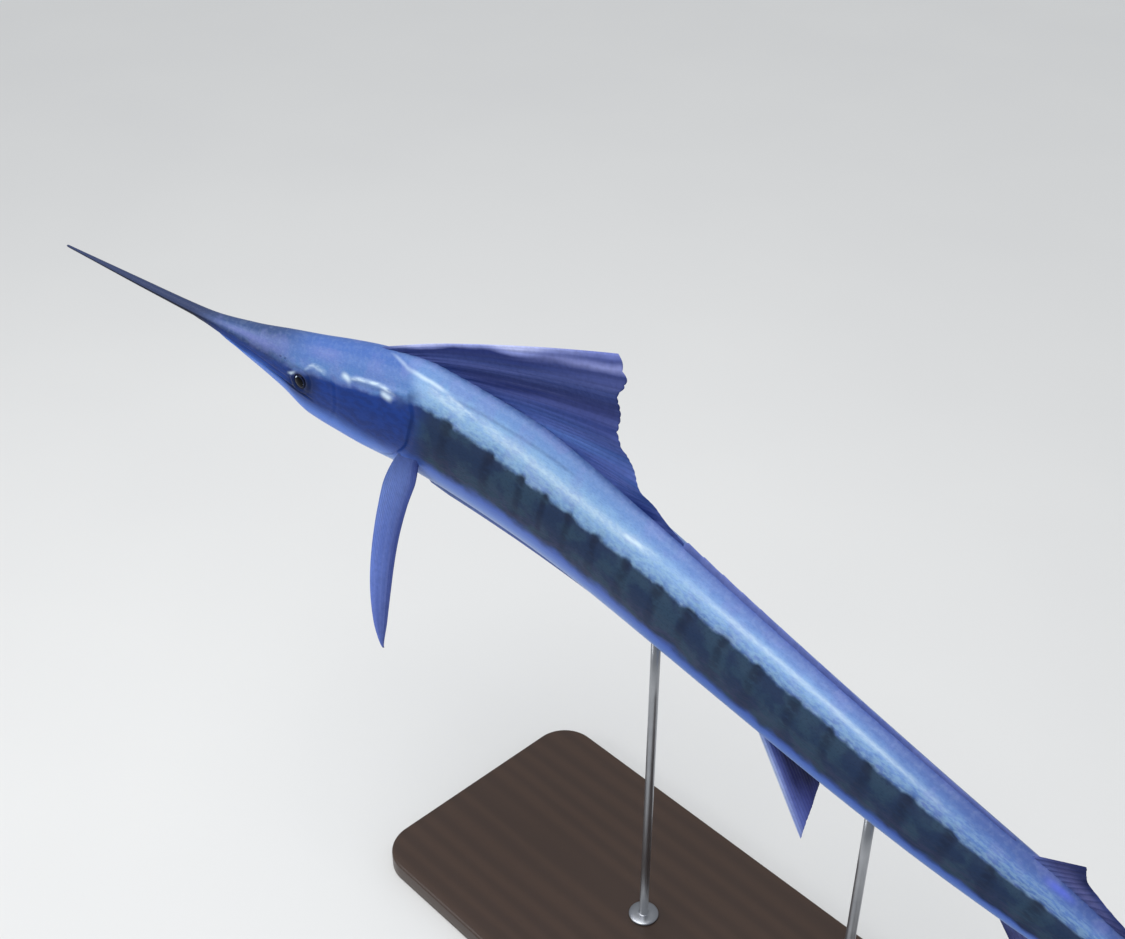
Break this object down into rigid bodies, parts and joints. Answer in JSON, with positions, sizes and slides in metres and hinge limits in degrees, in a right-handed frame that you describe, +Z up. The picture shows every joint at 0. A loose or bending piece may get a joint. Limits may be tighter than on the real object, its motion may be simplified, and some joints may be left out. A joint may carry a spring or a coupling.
{
  "type": "sailfish model on a display stand",
  "caption": "Life-size still model of a sailfish, head turned left and nose raised, sail half lifted, on a flat base with short rods.",
  "frame": {"origin": "middle of the underside of the stand's base", "axes": "+Z up; the fish's head points towards -X with its nose raised, and its left side faces -Y"},
  "size_m": [2.312, 0.4591, 1.0405],
  "materials": {
    "skin": "smooth satin fish skin, steel blue back over a dark flank",
    "pale_skin": "smooth satin silver-blue skin",
    "bill": "dark fine-grained bill",
    "eye": "wet dark eye",
    "sail_web": "dark violet membrane over paler rays",
    "fin_web": "grey-lavender membrane with fine rays",
    "stand_wood": "dark oiled wood",
    "stand_steel": "satin"
  },
  "bodies": {
    "root": {"bill": "bill", "lower_jaw": "pale_skin", "head": "skin", "gill_cover_left": "skin", "gill_cover_right": "skin", "eye_left": "eye", "eye_right": "eye", "torso_front": "skin", "torso_middle": "skin", "torso_rear": "skin", "tail_stem": "skin", "sail_front": "sail_web", "sail_rear": "sail_web", "sail_folded": "sail_web", "second_dorsal_fin": "sail_web", "first_anal_fin": "sail_web", "second_anal_fin": "sail_web", "pectoral_fin_left": "fin_web", "pectoral_fin_right": "fin_web", "pelvic_fin_left": "fin_web", "pelvic_fin_right": "fin_web", "caudal_fin_upper": "fin_web", "caudal_fin_lower": "fin_web", "stand_base": "stand_wood", "stand_rod_front": "stand_steel", "stand_rod_rear": "stand_steel"}
  },
  "joints": []
}
